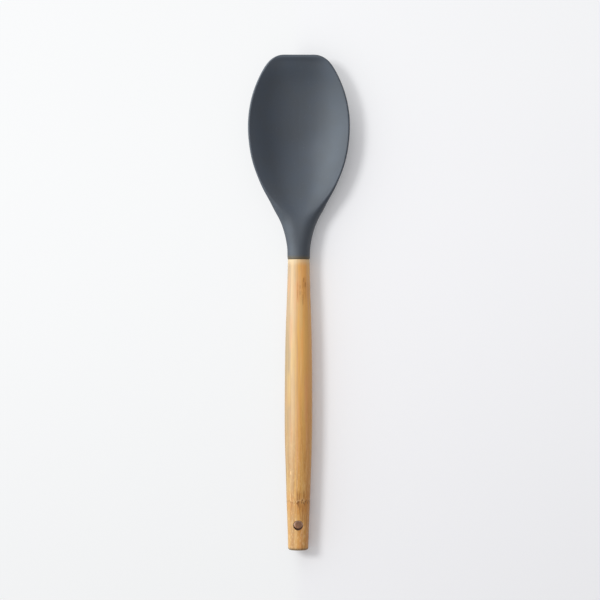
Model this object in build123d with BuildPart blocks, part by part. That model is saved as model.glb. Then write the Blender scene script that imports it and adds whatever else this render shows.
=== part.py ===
from build123d import *
import math
import os
from collections import namedtuple

# Overall sizes. The spatula lies on a table, bowl up: X is across, +Y points to the head's tip, Z is up.
overall_length = 320.0
head_length = 132.0
head_half_width = 32.9
rim_height = 15.2

# Silicone skin of the head
tip_flat_half = 9.9
tip_corner_radius = 12.0
tip_thickness = 2.7
lip_radius = 0.9
floor_height = 3.95
neck_radius = 7.1
neck_end_round = 0.4

# Nylon blade inside the silicone, and its stub in the handle
blade_skin = 1.1
neck_skin = 2.5
blade_edge_margin = 6.5
blade_tip_margin = 11.0
neck_bar_end = 12.0
lock_hole_radius = 2.6
lock_hole_spacing = 19.0
lock_hole_across = 11.0
lock_hole_start = 27.0
lock_hole_rows = 3
stub_radius = 3.5
stub_length = 36.0
stub_root = 16.0
stub_end_chamfer = 0.8
groove_depth = 0.5
groove_width = 2.0
groove_count = 4
groove_pitch = 7.0

# Glue round the stub
glue_gap = 0.2
glue_end_gap = 1.2
drill_point_angle = 118.0

# Turned handle of laminated bamboo
handle_joint_radius = 7.0
handle_bulge_radius = 8.9
handle_end_radius = 6.55
handle_end_round = 1.5
handle_joint_round = 0.35
hang_hole_radius = 3.0
hang_hole_from_end = 16.3
hang_hole_edge = 0.35
middle_ply_left = -1.3
middle_ply_right = 4.7

# The handle lies level, with its bulge on the table, and the head's neck is on the same axis
axis_height = handle_bulge_radius
neck_top = axis_height + neck_radius
neck_bottom = axis_height - neck_radius
tip_y = overall_length / 2
joint_y = tip_y - head_length
end_y = tip_y - overall_length
tip_round = tip_thickness / 2
round_share = 4 / 3

Section = namedtuple(
    "Section", "from_tip half_width shoulder_z shoulder_radius crown_z belly_z rise_in rise_out"
)

# Rounded front edge of the head, as angles round the edge from its front to its full thickness
nose_angles = (15, 35, 60, 90)

# The bowl, tip to deepest part. Each row: distance from the tip as a share of the head's length, half
# width as a share of the head's, floor height and underside height as shares of their rise to the tip,
# lip size as a share between the lip's and the tip's, and the slopes of floor and underside beside the lip
bowl_shares = (
    (0.0260, 0.562, 0.920, 0.912, 0.80, 9, 9),
    (0.0500, 0.646, 0.809, 0.776, 0.60, 15, 18),
    (0.0795, 0.720, 0.671, 0.620, 0.30, 18, 25),
    (0.1212, 0.803, 0.489, 0.440, 0.00, 22, 30),
    (0.1818, 0.897, 0.307, 0.256, 0.00, 25, 34),
    (0.2576, 0.970, 0.160, 0.112, 0.00, 26, 37),
    (0.3485, 1.000, 0.044, 0.020, 0.00, 25, 39),
    (0.4394, 0.976, 0.000, 0.000, 0.00, 22, 40),
)

# The bowl's end and the neck. Each row: distance from the tip as a share of the head's length, then
# shares from the bowl's size to the neck's: half width, shoulder height, shoulder roundness, crown
# height and underside height, and the slopes of crown and underside beside the shoulder
neck_shares = (
    (0.5303, 0.876, 0.96, 0.000, 0.133, 0.08, 19, 43),
    (0.6061, 0.736, 0.93, 0.010, 0.325, 0.22, 18, 46),
    (0.6667, 0.593, 0.80, 0.100, 0.510, 0.36, 14, 46),
    (0.7197, 0.442, 0.50, 0.320, 0.681, 0.50, 9, 43),
    (0.7652, 0.322, 0.14, 0.660, 0.822, 0.64, 0, 40),
    (0.8106, 0.196, -0.06, 0.850, 0.923, 0.78, -17, 41),
    (0.8561, 0.108, -0.04, 0.930, 0.979, 0.89, -30, 43),
    (0.9091, 0.041, -0.01, 0.985, 0.997, 0.97, -41, 45),
    (0.9545, 0.010, 0.00, 1.000, 1.000, 1.00, -44, 45),
    (1.0000, 0.000, 0.00, 1.000, 1.000, 1.00, -45, 45),
)

# How the blade inside follows the sections: 0 where it is a thin blade, 1 where it is a round bar
bar_start_share = 0.60
bar_full_share = 0.84

# Curve handles as shares of the half width: in the bowl beside the lip and in its middle, the same two
# for the underside, and those of the round neck, where they follow an eighth of a circle
inner_handle_share = 0.38
bowl_handle_share = 0.56
outer_handle_share = 0.36
belly_handle_share = 0.42
neck_handle_share = 0.375

# Steps along a curve in which its height is looked up
lookup_steps = 60


def between(start, end, share):
    return start + (end - start) * share


def nose_sections():
    """Sections of the rounded front edge, where the tip's corners are arcs in plan."""
    front = math.cos(math.radians(nose_angles[0]))
    for angle in nose_angles:
        reach = tip_round * (front - math.cos(math.radians(angle)))
        thickness = tip_round * math.sin(math.radians(angle))
        corner = math.sqrt(tip_corner_radius**2 - (tip_corner_radius - reach) ** 2)
        yield Section(
            from_tip=reach,
            half_width=tip_flat_half + corner,
            shoulder_z=rim_height - tip_round,
            shoulder_radius=thickness,
            crown_z=rim_height - tip_round + thickness,
            belly_z=rim_height - tip_round - thickness,
            rise_in=0,
            rise_out=0,
        )


def bowl_sections():
    """Sections from behind the tip to the deepest part of the bowl."""
    tip_bottom = rim_height - tip_thickness
    for place, width, floor, belly, lip, rise_in, rise_out in bowl_shares:
        radius = between(lip_radius, tip_round, lip)
        yield Section(
            from_tip=head_length * place,
            half_width=head_half_width * width,
            shoulder_z=rim_height - radius,
            shoulder_radius=radius,
            crown_z=between(floor_height, rim_height, floor),
            belly_z=tip_bottom * belly,
            rise_in=rise_in,
            rise_out=rise_out,
        )


def neck_sections():
    """Sections from the deepest part of the bowl over the shoulders to the round neck."""
    for place, width, shoulder, roundness, crown, belly, rise_in, rise_out in neck_shares:
        radius = between(lip_radius, neck_radius, roundness)
        yield Section(
            from_tip=head_length * place,
            half_width=between(neck_radius, head_half_width, width),
            shoulder_z=between(axis_height, rim_height - lip_radius, shoulder),
            shoulder_radius=radius,
            crown_z=between(floor_height, neck_top, crown),
            belly_z=neck_bottom * belly,
            rise_in=rise_in,
            rise_out=rise_out,
        )


def arc_handle(radius, turn):
    """Length of a curve's handle that follows a circle's arc through this turn in degrees."""
    return round_share * math.tan(math.radians(turn) / 4) * radius


def half_outline(s):
    """Right half of a section as four curves: crown, lip above, lip below and underside."""
    rise_in, rise_out = math.radians(s.rise_in), math.radians(s.rise_out)
    centre_x = s.half_width - s.shoulder_radius
    edge = Vector(s.half_width, s.shoulder_z)
    inner = Vector(
        centre_x - s.shoulder_radius * math.sin(rise_in),
        s.shoulder_z + s.shoulder_radius * math.cos(rise_in),
    )
    outer = Vector(
        centre_x + s.shoulder_radius * math.sin(rise_out),
        s.shoulder_z - s.shoulder_radius * math.cos(rise_out),
    )
    up_in = Vector(math.cos(rise_in), math.sin(rise_in))
    up_out = Vector(math.cos(rise_out), math.sin(rise_out))
    over = arc_handle(s.shoulder_radius, 90 + s.rise_in)
    under = arc_handle(s.shoulder_radius, 90 - s.rise_out)
    crown = Vector(0, s.crown_z)
    belly = Vector(0, s.belly_z)
    roundness = s.shoulder_radius / s.half_width
    inner_handle = between(inner_handle_share, neck_handle_share, roundness)
    crown_handle = between(bowl_handle_share, neck_handle_share, roundness)
    outer_handle = between(outer_handle_share, neck_handle_share, roundness)
    belly_handle = between(belly_handle_share, neck_handle_share, roundness)
    crown_curve = (
        crown,
        crown + Vector(inner.X * crown_handle, 0),
        inner - up_in * (inner.X * inner_handle),
        inner,
    )
    lip_above = (inner, inner + up_in * over, edge + Vector(0, over), edge)
    lip_below = (edge, edge - Vector(0, under), outer + up_out * under, outer)
    belly_curve = (
        outer,
        outer - up_out * (outer.X * outer_handle),
        belly + Vector(outer.X * belly_handle, 0),
        belly,
    )
    return crown_curve, lip_above, lip_below, belly_curve


def mirrored(curve):
    return tuple(Vector(-p.X, p.Y) for p in reversed(curve))


def cross_plane(from_tip):
    """Plane across the spatula, this far behind the tip, with its X across and its Y up."""
    return Plane.XZ.offset(from_tip - tip_y)


def section_face(s):
    """Face of one section, whose eight curves stay apart, so that every section has the same eight."""
    right_curves = half_outline(s)
    left_curves = [mirrored(curve) for curve in reversed(right_curves)]
    outline = Wire([Bezier(*curve, mode=Mode.PRIVATE) for curve in (*right_curves, *left_curves)])
    return cross_plane(s.from_tip) * Face(outline)


def axis_plane(from_tip):
    """Plane across the handle's axis, on the axis, facing the handle's end."""
    return Plane(origin=(0, tip_y - from_tip, axis_height), x_dir=(1, 0, 0), z_dir=(0, -1, 0))


def height_at(curves, x, highest):
    """Height of the outline at this x, on its upper or its lower side."""
    found = []
    for curve in curves:
        points = []
        for step in range(lookup_steps + 1):
            s = step / lookup_steps
            weights = ((1 - s) ** 3, 3 * s * (1 - s) ** 2, 3 * s * s * (1 - s), s**3)
            points.append(sum((p * w for p, w in zip(curve, weights)), Vector()))
        for a, b in zip(points, points[1:]):
            if min(a.X, b.X) <= x <= max(a.X, b.X) and a.X != b.X:
                found.append(between(a.Y, b.Y, (x - a.X) / (b.X - a.X)))
    return max(found) if highest else min(found)


sections = [*nose_sections(), *bowl_sections(), *neck_sections()]

# Nylon core: a curved blade in the bowl, a bar in the neck and a grooved stub in the handle
blade_end = head_length - neck_bar_end
with BuildPart() as nylon_core:
    blade_sections = [s for s in sections if blade_tip_margin <= s.from_tip <= blade_end]
    for s in blade_sections:
        share = (s.from_tip / head_length - bar_start_share) / (bar_full_share - bar_start_share)
        share = min(max(share, 0), 1)
        skin = between(blade_skin, neck_skin, share)
        side = s.half_width - between(blade_edge_margin, neck_skin, share)
        curves = half_outline(s)
        side_top = height_at(curves[:2], side, True) - skin
        side_bottom = height_at(curves[2:], side, False) + skin
        with BuildSketch(cross_plane(s.from_tip)):
            with BuildLine():
                ThreePointArc((-side, side_top), (0, s.crown_z - skin), (side, side_top))
                Line((side, side_top), (side, side_bottom))
                ThreePointArc((side, side_bottom), (0, s.belly_z + skin), (-side, side_bottom))
                Line((-side, side_bottom), (-side, side_top))
            make_face()
    loft()
    # holes that the silicone flows through, so that both skins are one
    lock_places = [
        (across, tip_y - lock_hole_start - row * lock_hole_spacing)
        for row in range(lock_hole_rows)
        for across in (-lock_hole_across, lock_hole_across)
    ]
    with BuildSketch(Plane.XY):
        with Locations(*lock_places):
            Circle(lock_hole_radius)
    extrude(amount=rim_height, mode=Mode.SUBTRACT)
    with BuildSketch(axis_plane(blade_end - stub_root)):
        Circle(stub_radius)
    extrude(amount=stub_root + neck_bar_end + stub_length)
    stub_end = nylon_core.faces().sort_by(Axis.Y)[0]
    chamfer(stub_end.edges(), stub_end_chamfer)
    for groove in range(groove_count):
        groove_place = head_length + groove_pitch * (groove + 1) - groove_width
        with BuildSketch(axis_plane(groove_place)):
            Circle(stub_radius + groove_depth)
            Circle(stub_radius - groove_depth, mode=Mode.SUBTRACT)
        extrude(amount=groove_width, mode=Mode.SUBTRACT)
nylon_core.part.label = "nylon_core"

# Silicone head, moulded over the core
with BuildPart() as silicone_head:
    loft(sections=[section_face(s) for s in sections])
    neck_face = silicone_head.faces().sort_by(Axis.Y)[0]
    fillet(neck_face.edges(), neck_end_round)
    add(nylon_core.part, mode=Mode.SUBTRACT)
silicone_head.part.label = "silicone_head"

# Turned bamboo handle before it is parted into its plies
handle_length = overall_length - head_length
bore_radius = stub_radius + glue_gap
bore_depth = stub_length + glue_end_gap
drill_point = bore_radius / math.tan(math.radians(drill_point_angle / 2))
handle_axis = Axis((0, 0, axis_height), (0, 1, 0))

bore_end = joint_y - bore_depth
bore_outline = (
    (joint_y, axis_height),
    (joint_y, axis_height + bore_radius),
    (bore_end, axis_height + bore_radius),
    (bore_end - drill_point, axis_height),
)

# radius along the handle: share of its length, then share of the swell from the joint to the bulge
swell_shares = ((0.11, 0.27), (0.22, 0.64), (0.33, 0.90), (0.44, 0.99))
# and share of the taper from the bulge down to the end
taper_shares = ((0.57, 0.00), (0.655, 0.12), (0.74, 0.34), (0.83, 0.56), (0.905, 0.79))
with BuildPart() as handle_blank:
    with BuildSketch(Plane.YZ):
        with BuildLine():
            profile = [(joint_y, axis_height + handle_joint_radius)]
            for place, swell in swell_shares:
                radius = between(handle_joint_radius, handle_bulge_radius, swell)
                profile.append((joint_y - handle_length * place, axis_height + radius))
            for place, taper in taper_shares:
                radius = between(handle_bulge_radius, handle_end_radius, taper)
                profile.append((joint_y - handle_length * place, axis_height + radius))
            profile.append((end_y, axis_height + handle_end_radius))
            Spline(*profile)
            Polyline(
                (end_y, axis_height + handle_end_radius),
                (end_y, axis_height),
                (joint_y, axis_height),
                (joint_y, axis_height + handle_joint_radius),
            )
        make_face()
    revolve(axis=handle_axis)
    end_face = handle_blank.faces().sort_by(Axis.Y)[0]
    joint_face = handle_blank.faces().sort_by(Axis.Y)[-1]
    fillet(end_face.edges(), handle_end_round)
    fillet(joint_face.edges(), handle_joint_round)
    with BuildSketch(Plane.XY):
        with Locations((0, end_y + hang_hole_from_end)):
            Circle(hang_hole_radius)
    extrude(amount=axis_height + handle_bulge_radius, mode=Mode.SUBTRACT)
    hole_faces = handle_blank.faces().filter_by(GeomType.CYLINDER)
    hole_edges = hole_faces.edges().filter_by(lambda e: e.geom_type != GeomType.LINE)
    fillet(hole_edges, hang_hole_edge)
    with BuildSketch(Plane.YZ):
        with BuildLine():
            Polyline(*bore_outline, close=True)
        make_face()
    revolve(axis=handle_axis, mode=Mode.SUBTRACT)

with BuildPart() as left_ply:
    add(handle_blank.part)
    split(bisect_by=Plane.YZ.offset(middle_ply_left), keep=Keep.BOTTOM)
left_ply.part.label = "left_bamboo_ply"

with BuildPart() as middle_ply:
    add(handle_blank.part)
    split(bisect_by=Plane.YZ.offset(middle_ply_left), keep=Keep.TOP)
    split(bisect_by=Plane.YZ.offset(middle_ply_right), keep=Keep.BOTTOM)
middle_ply.part.label = "middle_bamboo_ply"

with BuildPart() as right_ply:
    add(handle_blank.part)
    split(bisect_by=Plane.YZ.offset(middle_ply_right), keep=Keep.TOP)
right_ply.part.label = "right_bamboo_ply"

# Glue that fills the bore round the stub, its grooves and the drill point
with BuildPart() as tang_glue:
    with BuildSketch(Plane.YZ):
        with BuildLine():
            Polyline(*bore_outline, close=True)
        make_face()
    revolve(axis=handle_axis)
    add(nylon_core.part, mode=Mode.SUBTRACT)
tang_glue.part.label = "tang_glue"

os.makedirs("parts", exist_ok=True)
export_step(silicone_head.part, "parts/silicone_head.step")
export_step(nylon_core.part, "parts/nylon_core.step")
export_step(tang_glue.part, "parts/tang_glue.step")
export_step(left_ply.part, "parts/left_bamboo_ply.step")
export_step(middle_ply.part, "parts/middle_bamboo_ply.step")
export_step(right_ply.part, "parts/right_bamboo_ply.step")
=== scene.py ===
"""Silicone spatula on a pale table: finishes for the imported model, and the light and camera round it."""

import math
from collections import namedtuple

import bpy
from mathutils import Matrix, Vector


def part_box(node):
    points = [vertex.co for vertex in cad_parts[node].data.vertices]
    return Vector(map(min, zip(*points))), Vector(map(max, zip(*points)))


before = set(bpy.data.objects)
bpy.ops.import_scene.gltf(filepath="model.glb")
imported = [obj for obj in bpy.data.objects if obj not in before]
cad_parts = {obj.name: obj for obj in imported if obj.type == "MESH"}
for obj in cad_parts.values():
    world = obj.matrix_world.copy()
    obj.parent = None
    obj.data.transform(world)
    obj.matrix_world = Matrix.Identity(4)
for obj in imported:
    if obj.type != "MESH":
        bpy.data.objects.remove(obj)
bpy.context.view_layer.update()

bl_info = {
    "name": "Silicone Spatula",
    "version": (1, 0, 0),
    "blender": (4, 5, 0),
    "location": "3D View > Sidebar > Spatula",
    "description": "Gives the spatula its silicone and bamboo and lays it on a lit table",
    "category": "Object",
}

MILLIMETRE = 0.001
BLACK = (0, 0, 0)
JOINT_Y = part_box("silicone_head")[0].y
END_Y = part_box("middle_bamboo_ply")[0].y


# Shader maths

class Signal:
    """One output of a finish's nodes. Python's operators on it add Math nodes."""

    def __init__(self, finish, socket):
        self.finish = finish
        self.socket = socket

    def _math(self, operation, *values):
        settings = {"operation": operation}
        return self.finish.add("ShaderNodeMath", settings, dict(enumerate(values)))["Value"]

    def __add__(self, other):
        return self._math("ADD", self, other)

    def __radd__(self, other):
        return self._math("ADD", other, self)

    def __sub__(self, other):
        return self._math("SUBTRACT", self, other)

    def __rsub__(self, other):
        return self._math("SUBTRACT", other, self)

    def __mul__(self, other):
        return self._math("MULTIPLY", self, other)

    def __rmul__(self, other):
        return self._math("MULTIPLY", other, self)

    def __pow__(self, other):
        return self._math("POWER", self, other)

    def __abs__(self):
        return self._math("ABSOLUTE", self)

    def above(self, low, high):
        """0 up to low, 1 from high on and a smooth rise between them."""
        settings = {"interpolation_type": "SMOOTHSTEP"}
        sockets = {"Value": self, "From Min": low, "From Max": high}
        return self.finish.add("ShaderNodeMapRange", settings, sockets)["Result"]

    def near(self, centre, inner, outer):
        """1 within inner of the centre, 0 from outer on."""
        return 1 - abs(self - centre).above(inner, outer)


def flat_distance(across, along):
    """Distance from the point where both are 0, seen from above."""
    return (across * across + along * along) ** 0.5


class Finish:
    """The node tree of a material or of the room's light."""

    def __init__(self, owner):
        self.owner = owner
        owner.use_nodes = True
        self.tree = owner.node_tree
        self.tree.nodes.clear()

    def input_named(self, node, name):
        """The input in use that has this name, or the one at this place where it is a number."""
        if isinstance(name, int):
            return node.inputs[name]
        return next(s for s in node.inputs if s.enabled and s.name == name)

    def add(self, kind, settings=None, sockets=None):
        """Adds a node with its settings and its sockets' values or links. Returns its outputs by name."""
        node = self.tree.nodes.new(kind)
        for name, value in (settings or {}).items():
            setattr(node, name, value)
        for name, value in (sockets or {}).items():
            socket = self.input_named(node, name)
            if isinstance(value, Signal):
                self.tree.links.new(value.socket, socket)
            elif socket.type == "RGBA" and len(value) < 4:
                socket.default_value = (*value, 1)
            else:
                socket.default_value = value
        return {s.name: Signal(self, s) for s in node.outputs if s.enabled}

    def place(self):
        """The point on the object, in metres of the frame that all pieces share."""
        return self.add("ShaderNodeTexCoord")["Object"]

    def axes(self, vector):
        parts = self.add("ShaderNodeSeparateXYZ", None, {"Vector": vector})
        return parts["X"], parts["Y"], parts["Z"]

    def scaled(self, vector, factors, shift=(0, 0, 0)):
        settings = {"operation": "MULTIPLY_ADD"}
        return self.add("ShaderNodeVectorMath", settings, {0: vector, 1: factors, 2: shift})["Vector"]

    def noise(self, vector, scale, detail=3, roughness=0.55):
        sockets = {"Vector": vector, "Scale": scale, "Detail": detail, "Roughness": roughness}
        return self.add("ShaderNodeTexNoise", {"noise_dimensions": "3D"}, sockets)["Fac"]

    def mixed(self, share, first, second):
        sockets = {"Factor": share, "A": first, "B": second}
        return self.add("ShaderNodeMix", {"data_type": "RGBA"}, sockets)["Result"]

    def bump(self, height, depth):
        return self.add("ShaderNodeBump", None, {"Height": height, "Distance": depth})["Normal"]

    def surface(self, sockets):
        shader = self.add("ShaderNodeBsdfPrincipled", None, sockets)["BSDF"]
        self.add("ShaderNodeOutputMaterial", None, {"Surface": shader})
        return self.owner


# Sizes and colours that a user would change

def colour(name, description, default):
    return bpy.props.FloatVectorProperty(
        name=name, description=description, default=default, subtype="COLOR", size=3, min=0, max=1
    )


def length(name, description, default):
    return bpy.props.FloatProperty(
        name=name, description=description, default=default, unit="LENGTH", precision=5
    )


def share(name, description, default):
    return bpy.props.FloatProperty(
        name=name, description=description, default=default, subtype="FACTOR", min=0, max=1
    )


def angle(name, description, default):
    return bpy.props.FloatProperty(
        name=name, description=description, default=math.radians(default), subtype="ANGLE"
    )


class SiliconeSettings(bpy.types.PropertyGroup):
    """Dark slate silicone of the head."""

    base: colour("Silicone", "Colour of the silicone", (0.0272, 0.0384, 0.0550))
    dull: colour("Dull silicone", "Colour where it is a little greyer", (0.0300, 0.0384, 0.0500))
    dust: colour("Dust", "Colour of the few specks of dust", (0.16, 0.17, 0.18))
    dust_strength: share("Dust strength", "How much the dust shows", 0.10)
    # painted shade and brown reflection of the bamboo along the silicone's edge by the handle
    seat_shade_and_reflection: colour("Seat tint", "Brownish tint of its edge by the handle", (0.072, 0.046, 0.006))
    seat_strength: share("Seat strength", "How much that tint shows", 0.75)
    seat_length: length("Seat length", "How far that tint reaches up the neck", 0.0032)
    roughness: share("Roughness", "Roughness of its satin face", 0.60)
    gloss: share("Gloss", "How strongly its face reflects", 0.75)
    sheen: colour("Sheen", "Tint of its reflections", (0.96, 0.985, 1.0))
    grain: length("Grain", "Size of the fine moulded texture", 0.00035)
    grain_depth: length("Grain depth", "Depth of the fine moulded texture", 0.000012)


class CoreSettings(bpy.types.PropertyGroup):
    """Nylon core in the head and the glue round its stub."""

    nylon: colour("Nylon", "Colour of the core", (0.020, 0.021, 0.023))
    nylon_flow: colour("Nylon flow", "Colour of its faint flow grain", (0.032, 0.033, 0.036))
    nylon_roughness: share("Nylon roughness", "Roughness of the core", 0.5)
    nylon_relief: length("Nylon relief", "Depth of its flow grain", 0.00003)
    glue: colour("Glue", "Colour of the cured glue", (0.55, 0.40, 0.20))
    bubble: colour("Bubbles", "Colour of the bubbles in the glue", (0.70, 0.56, 0.34))
    bubble_depth: length("Bubble depth", "Depth of the bubbles at its face", 0.00005)
    glue_roughness: share("Glue roughness", "Roughness of the cured glue", 0.2)


class BambooSettings(bpy.types.PropertyGroup):
    """Sanded bamboo of the handle."""

    left: colour("Left ply", "Colour of the left ply by the joint", (0.380, 0.277, 0.168))
    middle: colour("Middle ply", "Colour of the middle ply by the joint", (0.630, 0.335, 0.092))
    right: colour("Right ply", "Colour of the right ply by the joint", (0.670, 0.345, 0.098))
    left_end: colour("Left end", "Colour that the left ply nears at its end", (0.365, 0.200, 0.068))
    middle_end: colour("Middle end", "Colour that the middle ply nears at its end", (0.505, 0.247, 0.063))
    right_end: colour("Right end", "Colour that the right ply nears at its end", (0.470, 0.200, 0.042))
    yellow: colour("Yellow bands", "Colour of the yellowish bands", (0.600, 0.380, 0.115))
    red: colour("Red bands", "Colour of the reddish bands", (0.620, 0.290, 0.120))
    # the darker band along the left side is partly painted shade of the handle's left limb
    edge: colour("Left edge", "Colour of the darker band along the left side", (0.300, 0.215, 0.105))
    fibre: colour("Fibre", "Colour of the dark fibres", (0.300, 0.135, 0.032))
    stain: colour("Knuckle stain", "Colour of the stain round a knuckle mark", (0.440, 0.180, 0.034))
    scar: colour("Knuckle line", "Colour of the dark line of a knuckle mark", (0.170, 0.062, 0.012))
    # painted shade: the dark wall of the hang hole and the dark pores at the cut end
    painted_bore_shade: colour("Bore", "Colour of the wall of the hang hole", (0.090, 0.032, 0.006))
    # darker end grain of the cut end, which also paints shade on the rounded edge before it
    end_grain_and_edge_shade: colour("End grain", "Colour of the cut end between its pores", (0.173, 0.140, 0.081))
    bright: colour("Bright band", "Colour of the bright band of the middle ply", (0.720, 0.360, 0.100))
    pale: colour("Pale grain", "Colour of the pale streaks", (0.660, 0.450, 0.225))
    roughness: share("Roughness", "Roughness of the sanded face", 0.48)
    seam: colour("Edge by the head", "Colour of its paler edge by the head", (0.580, 0.460, 0.290))
    seam_length: length("Edge length", "Length of that paler edge", 0.005)
    seam_strength: share("Edge strength", "How much that paler edge shows", 0.60)
    relief: length("Relief", "Depth of the grain", 0.000018)
    band_wander: length("Band wander", "How far the bands wander sideways", 0.0025)
    knuckle_wander: length("Knuckle wander", "How far a knuckle mark wanders along the handle", 0.008)
    joint_knuckle: length("Upper knuckle", "Place of the knuckle mark by the joint", 0.0072)
    end_knuckle: length("Lower knuckle", "Place of the knuckle mark by the hang hole", -0.1285)
    hole_from_end: length("Hang hole", "Distance of the hang hole from the handle's end", 0.0163)


class StageSettings(bpy.types.PropertyGroup):
    """Table, light and camera."""

    table: colour("Table", "Colour of the table", (0.965, 0.975, 0.98))
    # painted shade: table_shade with right_fall and near_fall darkens the table where the light falls off
    table_shade: colour("Table shade", "Colour that the table nears at its near right", (0.55, 0.55, 0.56))
    right_fall: share("Right fall", "How far the table nears that colour at its right", 0.10)
    near_fall: share("Near fall", "How far the table nears that colour at its near side", 0.18)
    mottle: colour("Table mottle", "Colour that the table nears in soft patches", (0.90, 0.905, 0.91))
    mottle_strength: share("Mottle strength", "How much those patches show", 0.06)
    # painted light: the table glows on its own, lifting the shade left of the spatula and lightening its
    # shadow by the head and the tip
    lit_glow: share("Glow on the lit side", "How much of its own white shows left of the spatula", 0.85)
    shade_glow: share("Glow in the head's shadow", "How much of it shows right of the head", 0.05)
    tip_glow: share("Glow by the tip", "How much more of it shows right of the tip", 0.26)
    white_level: share("White level", "Strength of that white", 0.975)
    # painted shade and warm bounce from the bamboo: the table is brown under the hang hole, where it is
    # seen through it
    hole_painted_shade: colour("Under the hang hole", "Colour of the table under the hang hole", (0.95, 0.58, 0.38))
    table_size: length("Table size", "Width of the table", 12.0)
    key_energy: bpy.props.FloatProperty(
        name="Key energy", description="Power of the small softbox", default=17.5, unit="POWER"
    )
    key_size: length("Key size", "Width of the small softbox", 0.55)
    key_elevation: angle("Key elevation", "Height angle of the small softbox", 52)
    key_turn: angle("Key turn", "How far the small softbox stands towards the tip", 22)
    low_energy: bpy.props.FloatProperty(
        name="Low energy", description="Power of the low broad softbox", default=56, unit="POWER"
    )
    low_colour: colour("Low colour", "Colour of the low broad softbox", (0.90, 0.97, 1.0))
    low_size: length("Low size", "Width of the low broad softbox", 2.5)
    low_height_share: share("Low height", "Height of the low softbox as a share of its width", 0.31)
    low_elevation: angle("Low elevation", "Height angle of the low broad softbox", 15)
    low_turn: angle("Low turn", "How far the low softbox stands towards the tip", 22)
    light_distance: length("Light distance", "Distance of the softboxes from the head", 2.2)
    sky: bpy.props.FloatProperty(
        name="Room light", description="Strength of the light from the room", default=0.715, min=0
    )
    tip_lean: share("Lean to the tip", "How much more light the room gives from the tip's side", 0.5)
    left_lean: share("Lean to the left", "How much more light the room gives from the left", 0.35)
    horizon: share("Horizon", "Light from the horizon as a share of the even light", 0.6)
    room_colour: colour("Room colour", "Colour of the light from the room", (0.985, 0.975, 1.0))
    camera_height: length("Camera height", "Height of the camera over the table", 1.612)
    camera_roll: angle("Camera roll", "Turn of the camera about its line of sight", 0.095)
    lens: bpy.props.FloatProperty(
        name="Lens", description="Focal length", default=148.6, subtype="DISTANCE_CAMERA"
    )
    aim_x: length("Aim across", "Where the camera aims across the spatula", 0.00089)
    aim_y: length("Aim along", "Where the camera aims along the spatula", 0.0017)


# Finishes of the head and of what is in it

# painted shade and reflection at the joint
SEAT_FULL = 0.6 * MILLIMETRE  # how far the seat's tint has its full strength


def silicone_finish(look):
    """Satin silicone: a faint mottle in colour and gloss, a fine moulded texture, and painted shade with a
    brown reflection of the bamboo at its edge by the handle.
    """
    finish = Finish(bpy.data.materials.new("slate_silicone"))
    place = finish.place()
    x, y, z = finish.axes(place)
    mottle = finish.noise(place, scale=90, detail=4)
    cloud = finish.noise(place, scale=22, detail=2)
    fine = finish.noise(place, scale=1 / look.grain, detail=2)
    dust = finish.noise(place, scale=900, detail=1).above(0.70, 0.78)
    # painted shade and brown reflection of the bamboo by the joint
    seat = 1 - y.above(JOINT_Y + SEAT_FULL, JOINT_Y + look.seat_length)
    base = finish.mixed((mottle * 0.6 + cloud * 0.4).above(0.35, 0.65), look.base, look.dull)
    base = finish.mixed(dust * look.dust_strength, base, look.dust)
    base = finish.mixed(seat * look.seat_strength, base, look.seat_shade_and_reflection)
    return finish.surface(
        {
            "Base Color": base,
            "Roughness": look.roughness + (mottle - 0.5) * 0.10 + (fine - 0.5) * 0.06,
            "Normal": finish.bump(fine, look.grain_depth),
            "IOR": 1.5,
            "Specular IOR Level": look.gloss,
            "Specular Tint": look.sheen,
        }
    )


def nylon_finish(look):
    """Plain moulded nylon with a faint flow grain along the blade."""
    finish = Finish(bpy.data.materials.new("core_nylon"))
    flow = finish.noise(finish.scaled(finish.place(), (1, 0.15, 1)), scale=400)
    return finish.surface(
        {
            "Base Color": finish.mixed(flow, look.nylon, look.nylon_flow),
            "Roughness": look.nylon_roughness + (flow - 0.5) * 0.2,
            "Normal": finish.bump(flow, look.nylon_relief),
        }
    )


def glue_finish(look):
    """Cured amber glue with small bubbles."""
    finish = Finish(bpy.data.materials.new("cured_glue"))
    place = finish.place()
    settings = {"voronoi_dimensions": "3D", "feature": "F1"}
    cells = finish.add("ShaderNodeTexVoronoi", settings, {"Vector": place, "Scale": 900})
    bubble = 1 - cells["Distance"].above(0.15, 0.3)
    cloud = finish.noise(place, scale=300)
    return finish.surface(
        {
            "Base Color": finish.mixed(cloud * 0.4 + bubble * 0.3, look.glue, look.bubble),
            "Roughness": look.glue_roughness + cloud * 0.2,
            "Normal": finish.bump(bubble, look.bubble_depth),
        }
    )


# Finish of the bamboo. A tint is the name of a colour of BambooSettings.

# A grain drawn out along the handle: its breadth as a share of its length, how fine it is,
# and where a ply's seed shifts it along each axis.
Grain = namedtuple("Grain", "breadth_share per_metre detail roughness shift_shares")
GRAINS = {
    "wide": Grain(0.035, 330, 2, 0.55, (1, 0.37, -0.61)),
    "streak": Grain(0.035, 1200, 3, 0.60, (1, 0.37, -0.61)),
    "short": Grain(0.06, 1050, 2, 0.55, (-1, 1, 1)),
    "speck": Grain(0.30, 1250, 1, 0.55, (1, 1, -1)),
    "ragged": Grain(0.25, 950, 2, 0.55, (1, -1, 1)),
    "cloud": Grain(0.30, 60, 3, 0.55, (1, 1, 1)),
    "hue": Grain(0.10, 190, 2, 0.55, (1, -1, 1)),
}

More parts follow.
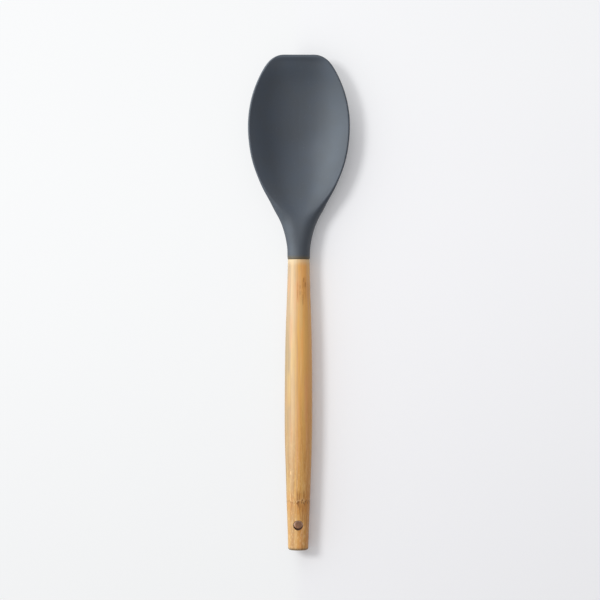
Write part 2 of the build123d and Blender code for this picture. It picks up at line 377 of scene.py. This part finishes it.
# Flecks where a grain passes from low to high: their strength by the joint and at the end,
# how closely they gather at the end, and their tint. Where low is over high, they are the grain's dips.
Fleck = namedtuple("Fleck", "grain low high by_joint at_end gathering tint")
FLECKS = (
    Fleck("hue", 0.52, 0.66, 0.30, 0.30, 1, "yellow"),
    Fleck("hue", 0.46, 0.34, 0.40, 0.40, 1, "red"),
    Fleck("wide", 0.46, 0.66, 0.30, 0.15, 1, "pale"),
    Fleck("streak", 0.52, 0.75, 0.10, 0.30, 1, "fibre"),
    Fleck("short", 0.54, 0.62, 0.06, 0.56, 3, "fibre"),
    Fleck("speck", 0.56, 0.66, 0.00, 0.40, 3, "pale"),
    Fleck("speck", 0.42, 0.30, 0.00, 0.50, 3, "stain"),
)

# A band along the handle: its place and half sizes across and along in millimetres, its tint and strength.
Band = namedtuple("Band", "across half_width along half_length tint strength")
FULL_WIDTH_SHARE = 0.2  # share of the half width at which a band has its full strength
FULL_LENGTH_SHARE = 0.5
REDDISH_BAND = Band(4.8, 1.4, -62, 20, "red", 0.60)
LEFT_BANDS = (
    # pale band of the left ply, partly a painted highlight where the lamps' highlight falls
    Band(-3.6, 1.9, -10, 120, "pale", 0.45),
    # partly painted shade: darker band along the left limb
    Band(-7.6, 2.8, -75, 80, "edge", 0.60),
    Band(-6.0, 1.8, -56, 14, "yellow", 0.35),
    Band(-6.2, 1.8, -140, 36, "yellow", 0.25),
    Band(-1.3, 1.4, -60, 150, "middle", 0.50),
    Band(-4.8, 1.5, -20, 14, "red", 0.30),
    # specks and teeth of the lower knuckle
    Band(-5.0, 0.6, -109.8, 1.4, "pale", 0.80),
    Band(-2.2, 0.5, -117.3, 3.0, "scar", 0.30),
    Band(-5.0, 0.5, -126.0, 2.6, "pale", 0.55),
    Band(-3.8, 0.5, -127.4, 2.0, "stain", 0.60),
    Band(-2.2, 0.7, -129.4, 1.6, "pale", 0.80),
    Band(-1.6, 0.7, -127.6, 1.8, "scar", 0.60),
)
MIDDLE_BANDS = (
    Band(3.0, 2.4, -8, 70, "bright", 0.90),
    REDDISH_BAND,
    Band(-1.3, 1.4, -60, 150, "left", 0.50),
    Band(-0.8, 1.6, 7, 10, "red", 0.50),
    Band(2.0, 1.8, -6, 14, "yellow", 0.50),
    Band(3.9, 1.8, 20, 12, "stain", 0.12),
    # specks of the upper knuckle
    Band(3.6, 1.9, 12.6, 5.0, "stain", 0.35),
    Band(0.7, 0.6, 10.2, 1.6, "scar", 0.50),
    Band(4.4, 0.7, 11.6, 2.0, "scar", 0.50),
    Band(3.2, 0.6, 14.6, 1.8, "scar", 0.45),
    Band(0.7, 0.5, 6.2, 1.8, "scar", 0.45),
    Band(2.8, 0.5, 2.0, 4.4, "scar", 0.55),
    # line and specks of the lower knuckle
    Band(3.6, 2.2, -131.5, 4.5, "stain", 0.60),
    Band(2.3, 1.8, -128.9, 1.2, "pale", 0.55),
    Band(0.2, 0.8, -129.6, 1.8, "scar", 0.75),
    Band(2.2, 0.9, -131.0, 1.6, "scar", 0.70),
    Band(4.3, 0.8, -130.2, 1.8, "scar", 0.75),
    Band(0.1, 0.5, -134.0, 4.0, "stain", 0.60),
    Band(1.7, 0.5, -137.2, 3.4, "scar", 0.40),
    Band(1.7, 0.6, -149.9, 1.2, "scar", 0.50),
)

# What a knuckle mark is made of: its distance from the knuckle and half lengths in millimetres, the grain
# that breaks it up between low and high, its tint, its strength, and whether it goes with the mark's stain
# or with its line.
Trace = namedtuple("Trace", "offset inner outer grain low high tint strength part")
TRACES = (
    Trace(0, 2, 9, "streak", 0.30, 0.60, "stain", 0.65, "stain"),
    Trace(-5, 2, 7, "speck", 0.40, 0.55, "stain", 0.45, "line"),
    Trace(0, 2, 9, "short", 0.55, 0.62, "scar", 0.60, "stain"),
    Trace(1.3, 0.2, 0.9, "short", 0.42, 0.52, "pale", 0.50, "line"),
    Trace(0, 0.3, 1.1, "speck", 0.40, 0.56, "scar", 0.95, "line"),
)
LINE_HALF_LENGTHS = (0.3 * MILLIMETRE, 1.1 * MILLIMETRE)
LINE_DEPTH_SHARE = 1.5  # depth of a knuckle's line as a share of the grain's relief

# A knuckle mark on a ply: the name of its place in BambooSettings, and the strength of its stain and line.
Knuckle = namedtuple("Knuckle", "place stain line")

# A ply: its node, the name of its colour by the joint, its seed, its bands and its knuckle marks.
Ply = namedtuple("Ply", "node tone seed bands knuckles")
PLIES = (
    Ply("left_bamboo_ply", "left", 3.1, LEFT_BANDS, (Knuckle("end_knuckle", 0.5, 0.6),)),
    Ply(
        "middle_bamboo_ply", "middle", 7.7, MIDDLE_BANDS,
        (Knuckle("joint_knuckle", 0.6, 0.1), Knuckle("end_knuckle", 0.9, 1.0)),
    ),
    Ply(
        "right_bamboo_ply", "right", 12.9, (REDDISH_BAND,),
        (Knuckle("joint_knuckle", 0.2, 0.0), Knuckle("end_knuckle", 0.9, 0.9)),
    ),
)

END_TONE_SHARE = 0.85  # how far a ply's colour nears that of its end
END_TONE_GATHERING = 1.4  # how closely that change gathers at the end
RED_MEAN = 0.05  # how far a ply nears the colour of its reddish bands
RED_SPREAD = 0.3  # how much that varies in soft clouds
PORES = (0.48, 0.60)  # the streaks that are pores at the cut end
PORE_STRENGTH = 0.70
# the cut end's darker grain, and painted shade on its rounded edge
CUT_END = (0.4 * MILLIMETRE, 2.4 * MILLIMETRE)  # between these distances from the end its tint fades
CUT_END_STRENGTH = 0.75
# painted shade on the wall of the hang hole
HOLE_WALL = (3.1 * MILLIMETRE, 3.35 * MILLIMETRE)  # between these distances from its axis its tint fades
HOLE_WALL_STRENGTH = 0.95


def bamboo_grains(finish, place, seed):
    """The grains of one ply by name."""
    grains = {}
    for name, grain in GRAINS.items():
        shift = [seed * part for part in grain.shift_shares]
        drawn_out = finish.scaled(place, (1, grain.breadth_share, 1), shift)
        grains[name] = finish.noise(drawn_out, grain.per_metre, grain.detail, grain.roughness)
    return grains


def with_bands(finish, base, x, y, grains, bands, look):
    """The base colour with a ply's bands, whose sides wander with the grain."""
    wavy = x + (grains["hue"] - 0.5) * look.band_wander
    for band in bands:
        half_width = band.half_width * MILLIMETRE
        half_length = band.half_length * MILLIMETRE
        across = wavy.near(band.across * MILLIMETRE, half_width * FULL_WIDTH_SHARE, half_width)
        along = y.near(band.along * MILLIMETRE, half_length * FULL_LENGTH_SHARE, half_length)
        base = finish.mixed(across * along * band.strength, base, getattr(look, band.tint))
    return base


def with_flecks(finish, base, towards_end, grains, look):
    """The base colour with its patches, streaks, dashes and specks."""
    for fleck in FLECKS:
        strength = fleck.by_joint + towards_end ** fleck.gathering * (fleck.at_end - fleck.by_joint)
        seen = grains[fleck.grain].above(fleck.low, fleck.high)
        base = finish.mixed(seen * strength, base, getattr(look, fleck.tint))
    redness = (grains["cloud"] - 0.5) * RED_SPREAD + RED_MEAN
    return finish.mixed(redness, base, look.red)


def with_knuckles(finish, base, y, grains, knuckles, look):
    """The base colour with a ply's knuckle marks, and the relief of the grain with their lines."""
    relief = grains["streak"] * 0.5 + grains["short"] * 0.5
    ragged = y + (grains["ragged"] - 0.5) * look.knuckle_wander
    for knuckle in knuckles:
        knuckle_y = getattr(look, knuckle.place)
        for trace in TRACES:
            sizes = trace.inner * MILLIMETRE, trace.outer * MILLIMETRE
            along = ragged.near(knuckle_y + trace.offset * MILLIMETRE, *sizes)
            broken = grains[trace.grain].above(trace.low, trace.high)
            strength = trace.strength * getattr(knuckle, trace.part)
            base = finish.mixed(along * broken * strength, base, getattr(look, trace.tint))
        relief = relief - ragged.near(knuckle_y, *LINE_HALF_LENGTHS) * (LINE_DEPTH_SHARE * knuckle.line)
    return base, relief


def with_ends(finish, base, x, y, grains, look):
    """The base colour with the paler edge by the head, the cut end with its pores and partly painted shade
    on its rounded edge, and the hole's wall in painted shade.
    """
    by_head = y.above(JOINT_Y - look.seam_length, JOINT_Y)
    base = finish.mixed(by_head * look.seam_strength, base, look.seam)
    # darker end grain at the cut face, painted shade on the rounded edge before it
    by_end = 1 - y.above(END_Y + CUT_END[0], END_Y + CUT_END[1])
    pores = grains["streak"].above(*PORES) * PORE_STRENGTH
    base = finish.mixed(by_end * CUT_END_STRENGTH, base, finish.mixed(pores, look.end_grain_and_edge_shade, look.painted_bore_shade))
    # painted shade on the wall of the hang hole
    wall = 1 - flat_distance(x, y - (END_Y + look.hole_from_end)).above(*HOLE_WALL)
    return finish.mixed(wall * HOLE_WALL_STRENGTH, base, look.painted_bore_shade)


def bamboo_finish(ply, look):
    """Sanded bamboo of one ply: bands, streaks and fibres along the handle, knuckle marks across it,
    painted shade in the hang hole and at the cut end.
    """
    finish = Finish(bpy.data.materials.new(ply.node.replace("_ply", "")))
    place = finish.place()
    x, y, z = finish.axes(place)
    grains = bamboo_grains(finish, place, ply.seed)
    towards_end = 1 - y.above(END_Y, JOINT_Y)
    tones = getattr(look, ply.tone), getattr(look, ply.tone + "_end")
    base = finish.mixed(towards_end ** END_TONE_GATHERING * END_TONE_SHARE, *tones)
    base = with_bands(finish, base, x, y, grains, ply.bands, look)
    base = with_flecks(finish, base, towards_end, grains, look)
    base, relief = with_knuckles(finish, base, y, grains, ply.knuckles, look)
    streak, short = grains["streak"], grains["short"]
    return finish.surface(
        {
            "Base Color": with_ends(finish, base, x, y, grains, look),
            "Roughness": look.roughness + (streak - 0.5) * 0.16 + (short - 0.5) * 0.10,
            "Normal": finish.bump(relief, look.relief),
            "IOR": 1.45,
            "Specular IOR Level": 0.35,
        }
    )


# Table and room. A rise is where something grows from nothing to its whole, from one distance to the other.

RIGHT_RISE = (-0.30, 0.30)
NEAR_RISE = (-0.30, 0.10)
MIDDLE_RISE = (-6 * MILLIMETRE, 6 * MILLIMETRE)
HEAD_RISE = (-30 * MILLIMETRE, 80 * MILLIMETRE)
TIP_RISE = (90 * MILLIMETRE, 160 * MILLIMETRE)
FAR_RISE = (0.24, 0.45)
HOLE_SHADE_RISE = (1.8 * MILLIMETRE, 4.4 * MILLIMETRE)
HOLE_VIEW_SHIFT = 1.2 * MILLIMETRE  # the camera sees the table through the hole this much nearer
LEVEL_SHARE = 2 / 3  # what a level face gets of light that grows with its height, as a share of even light


def table_painted_glow(finish, x, y, look):
    """How much the table glows with its own white, a painted light: most on the left and far away, where it
    lifts the shade round the spatula, little in the spatula's shadow, which it lightens a little by the
    head and more by the tip.
    """
    right = x.above(*MIDDLE_RISE)
    # painted light that lightens the spatula's shadow right of the head and more right of the tip
    in_shadow = y.above(*HEAD_RISE) * look.shade_glow + y.above(*TIP_RISE) * look.tip_glow
    near = (1 - right) * look.lit_glow + right * in_shadow
    glow = near + flat_distance(x, y).above(*FAR_RISE) * (look.lit_glow - near)
    rays = finish.add("ShaderNodeLightPath")
    return glow * (rays["Is Camera Ray"] + rays["Is Glossy Ray"] + rays["Is Transmission Ray"])


def table_finish(look, hole_y):
    """Matt white board, faintly uneven, with painted shade towards its right and near sides where the light
    falls off, brown painted shade under the hang hole, and a painted glow.
    """
    finish = Finish(bpy.data.materials.new("white_board"))
    place = finish.place()
    x, y, z = finish.axes(place)
    cloud = finish.noise(place, scale=3, detail=2)
    # painted shade of the light falling off towards the right and near sides
    fall = x.above(*RIGHT_RISE) * look.right_fall + (1 - y.above(*NEAR_RISE)) * look.near_fall
    base = finish.mixed(fall, look.table, look.table_shade)
    base = finish.mixed(cloud * look.mottle_strength, base, look.mottle)
    # painted shade under the hang hole, brown as with light bounced off the bamboo
    hole_painted_shade = 1 - flat_distance(x, y - (hole_y - HOLE_VIEW_SHIFT)).above(*HOLE_SHADE_RISE)
    base = finish.mixed(hole_painted_shade, base, look.hole_painted_shade)
    # the table's painted glow, left out where the painted shade under the hang hole is
    glow = table_painted_glow(finish, x, y, look) * (1 - hole_painted_shade)
    return finish.surface(
        {
            "Base Color": finish.mixed(glow, base, BLACK),
            "Emission Color": finish.mixed(glow, BLACK, base),
            "Emission Strength": look.white_level,
            "Roughness": 0.75 + (cloud - 0.5) * 0.1,
            "Specular IOR Level": 0.2,
        }
    )


def room_light(look):
    """Light from all round, brighter from the left and from the side that the tip points to."""
    finish = Finish(bpy.data.worlds.new("room"))
    x, y, z = finish.axes(finish.add("ShaderNodeTexCoord")["Generated"])
    # the table gets as much light as from an even room, whatever the horizon's share
    height = look.horizon + z * ((1 - look.horizon) / LEVEL_SHARE)
    strength = look.sky * height * (1 + y * look.tip_lean - x * look.left_lean)
    sockets = {"Color": look.room_colour, "Strength": strength}
    light = finish.add("ShaderNodeBackground", None, sockets)["Background"]
    finish.add("ShaderNodeOutputWorld", None, {"Surface": light})
    return finish.owner


# Pieces

def dress(node, material):
    """Gives one node of the frame its finish."""
    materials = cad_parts[node].data.materials
    materials.clear()
    materials.append(material)


class SPATULA_OT_head(bpy.types.Operator):
    """Finish of the silicone head"""

    bl_idname = "spatula.head"
    bl_label = "Silicone head"

    def execute(self, context):
        dress("silicone_head", silicone_finish(context.scene.spatula_silicone))
        return {"FINISHED"}


class SPATULA_OT_core(bpy.types.Operator):
    """Finish of the nylon core in the head"""

    bl_idname = "spatula.core"
    bl_label = "Nylon core"

    def execute(self, context):
        dress("nylon_core", nylon_finish(context.scene.spatula_core))
        return {"FINISHED"}


class SPATULA_OT_glue(bpy.types.Operator):
    """Finish of the glue round the core's stub"""

    bl_idname = "spatula.glue"
    bl_label = "Glue"

    def execute(self, context):
        dress("tang_glue", glue_finish(context.scene.spatula_core))
        return {"FINISHED"}


class SPATULA_OT_handle(bpy.types.Operator):
    """Finish of the three bamboo plies"""

    bl_idname = "spatula.handle"
    bl_label = "Bamboo handle"

    def execute(self, context):
        for ply in PLIES:
            dress(ply.node, bamboo_finish(ply, context.scene.spatula_bamboo))
        return {"FINISHED"}


LIGHT_AIM = Vector((0, 0.04, 0.01))  # over the near end of the bowl


def softbox(name, energy, width, height, elevation, turn, distance):
    """Area lamp to the left of the spatula, this high and this far towards the tip, that faces the bowl."""
    level = math.cos(elevation)
    way = Vector((-level * math.cos(turn), level * math.sin(turn), math.sin(elevation)))
    data = bpy.data.lights.new(name, "AREA")
    data.shape = "RECTANGLE"
    data.size = width
    data.size_y = height
    data.energy = energy
    lamp = bpy.data.objects.new(name, data)
    lamp.location = LIGHT_AIM + way * distance
    lamp.rotation_euler = way.to_track_quat("Z", "Y").to_euler()
    bpy.context.scene.collection.objects.link(lamp)
    return lamp


class SPATULA_OT_stage(bpy.types.Operator):
    """Table, light and camera"""

    bl_idname = "spatula.stage"
    bl_label = "Table, light and camera"

    def execute(self, context):
        look = context.scene.spatula_stage
        hole_y = END_Y + context.scene.spatula_bamboo.hole_from_end
        self.light(look, self.table(look, hole_y))
        self.camera(look)
        context.scene.view_settings.view_transform = "Standard"
        return {"FINISHED"}

    def table(self, look, hole_y):
        reach = look.table_size / 2
        corners = [(-reach, -reach, 0), (reach, -reach, 0), (reach, reach, 0), (-reach, reach, 0)]
        mesh = bpy.data.meshes.new("table")
        mesh.from_pydata(corners, [], [(0, 1, 2, 3)])
        mesh.materials.append(table_finish(look, hole_y))
        table = bpy.data.objects.new("table", mesh)
        bpy.context.scene.collection.objects.link(table)
        return table

    def light(self, look, table):
        softbox(
            "key_softbox", look.key_energy, look.key_size, look.key_size,
            look.key_elevation, look.key_turn, look.light_distance,
        )
        low = softbox(
            "low_softbox", look.low_energy, look.low_size, look.low_size * look.low_height_share,
            look.low_elevation, look.low_turn, look.light_distance,
        )
        kept_dark = bpy.data.collections.new("not_lit_by_low_softbox")
        kept_dark.objects.link(table)
        low.data.color = look.low_colour
        low.light_linking.receiver_collection = kept_dark
        kept_dark.collection_objects[0].light_linking.link_state = "EXCLUDE"
        bpy.context.scene.world = room_light(look)

    def camera(self, look):
        data = bpy.data.cameras.new("camera")
        data.lens = look.lens
        camera = bpy.data.objects.new("camera", data)
        camera.location = (look.aim_x, look.aim_y, look.camera_height)
        camera.rotation_euler.z = look.camera_roll
        bpy.context.scene.collection.objects.link(camera)
        bpy.context.scene.camera = camera


class SPATULA_PT_panel(bpy.types.Panel):
    """Lists the pieces in the sidebar."""

    bl_idname = "SPATULA_PT_panel"
    bl_label = "Spatula"
    bl_space_type = "VIEW_3D"
    bl_region_type = "UI"
    bl_category = "Spatula"

    def draw(self, context):
        for operator in OPERATORS:
            self.layout.operator(operator.bl_idname)
        for name, group in SETTINGS.items():
            box = self.layout.box()
            for field in group.__annotations__:
                box.prop(getattr(context.scene, name), field)


SETTINGS = {
    "spatula_silicone": SiliconeSettings,
    "spatula_core": CoreSettings,
    "spatula_bamboo": BambooSettings,
    "spatula_stage": StageSettings,
}
OPERATORS = (SPATULA_OT_head, SPATULA_OT_core, SPATULA_OT_glue, SPATULA_OT_handle, SPATULA_OT_stage)


def register():
    for group in (*SETTINGS.values(), *OPERATORS, SPATULA_PT_panel):
        bpy.utils.register_class(group)
    for name, group in SETTINGS.items():
        setattr(bpy.types.Scene, name, bpy.props.PointerProperty(type=group))


def unregister():
    for name in SETTINGS:
        delattr(bpy.types.Scene, name)
    for group in (SPATULA_PT_panel, *OPERATORS, *SETTINGS.values()):
        bpy.utils.unregister_class(group)


def main():
    register()
    bpy.ops.spatula.head()
    bpy.ops.spatula.core()
    bpy.ops.spatula.glue()
    bpy.ops.spatula.handle()
    bpy.ops.spatula.stage()
    bpy.context.view_layer.update()


if __name__ == "__main__":
    main()
